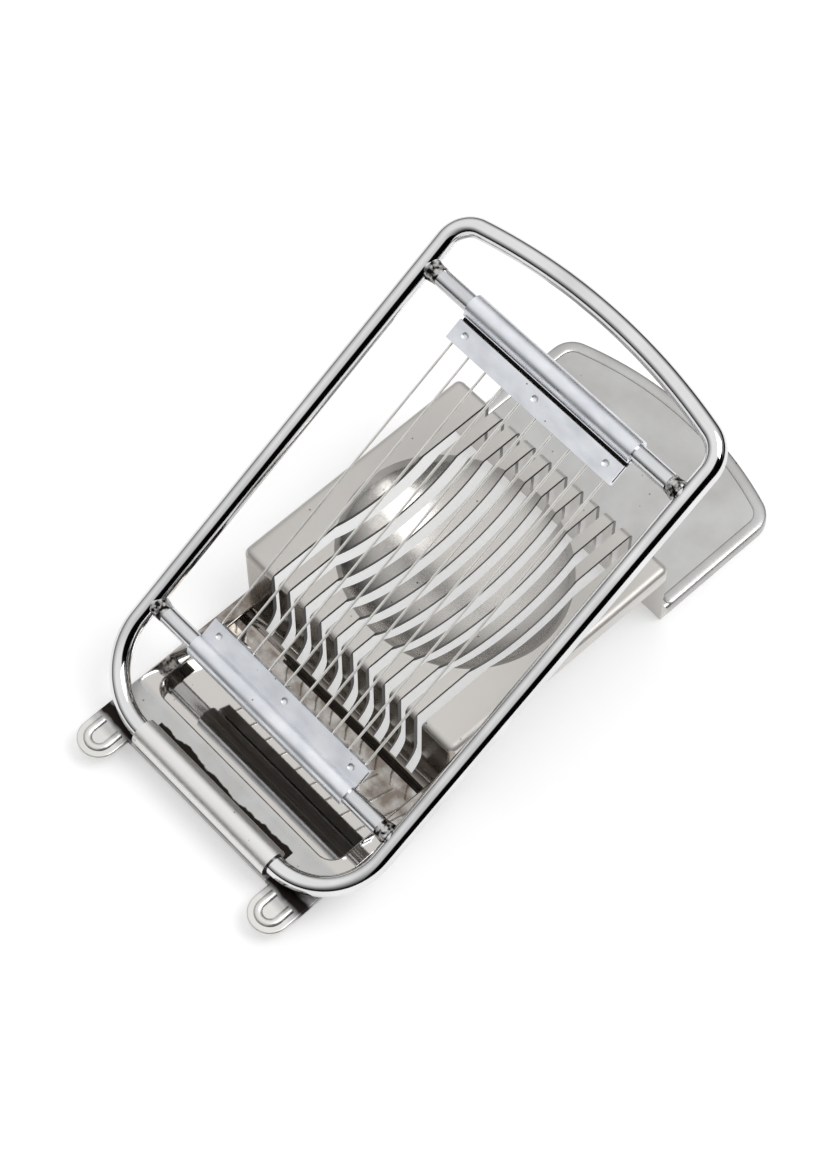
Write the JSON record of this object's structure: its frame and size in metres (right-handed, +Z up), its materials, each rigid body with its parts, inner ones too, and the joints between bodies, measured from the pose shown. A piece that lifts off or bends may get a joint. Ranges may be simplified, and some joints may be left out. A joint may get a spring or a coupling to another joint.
{
  "type": "wire slicer",
  "caption": "Kitchen slicer for a boiled egg: a stamped sheet base with a slotted, dished deck and a hinged rod frame strung with fine cutting wires.",
  "frame": {"origin": "on the table plane, under the middle of the part's bounding box", "axes": "+Z up from the table, +Y towards the hinge end, +X across the part along the hinge axis"},
  "size_m": [0.0848, 0.1632, 0.0812],
  "materials": {
    "base_sheet": "satin",
    "polished_rod": "polished",
    "crossbar_steel": "satin",
    "clip_sheet": "satin",
    "wire_steel": "bright"
  },
  "bodies": {
    "base_body": {"base": "base_sheet"},
    "frame_body": {"frame_rod": "polished_rod", "rear_crossbar": "crossbar_steel", "front_crossbar": "crossbar_steel", "rear_wire_clip": "clip_sheet", "front_wire_clip": "clip_sheet", "cutting_wire": "wire_steel"}
  },
  "joints": [
    {"name": "frame_hinge", "type": "hinge", "parent": "base_body", "child": "frame_body", "pos_m": [0, 0.0692, 0.008], "axis": [-1, 0, 0], "range_deg": [-31.6, 79]}
  ]
}
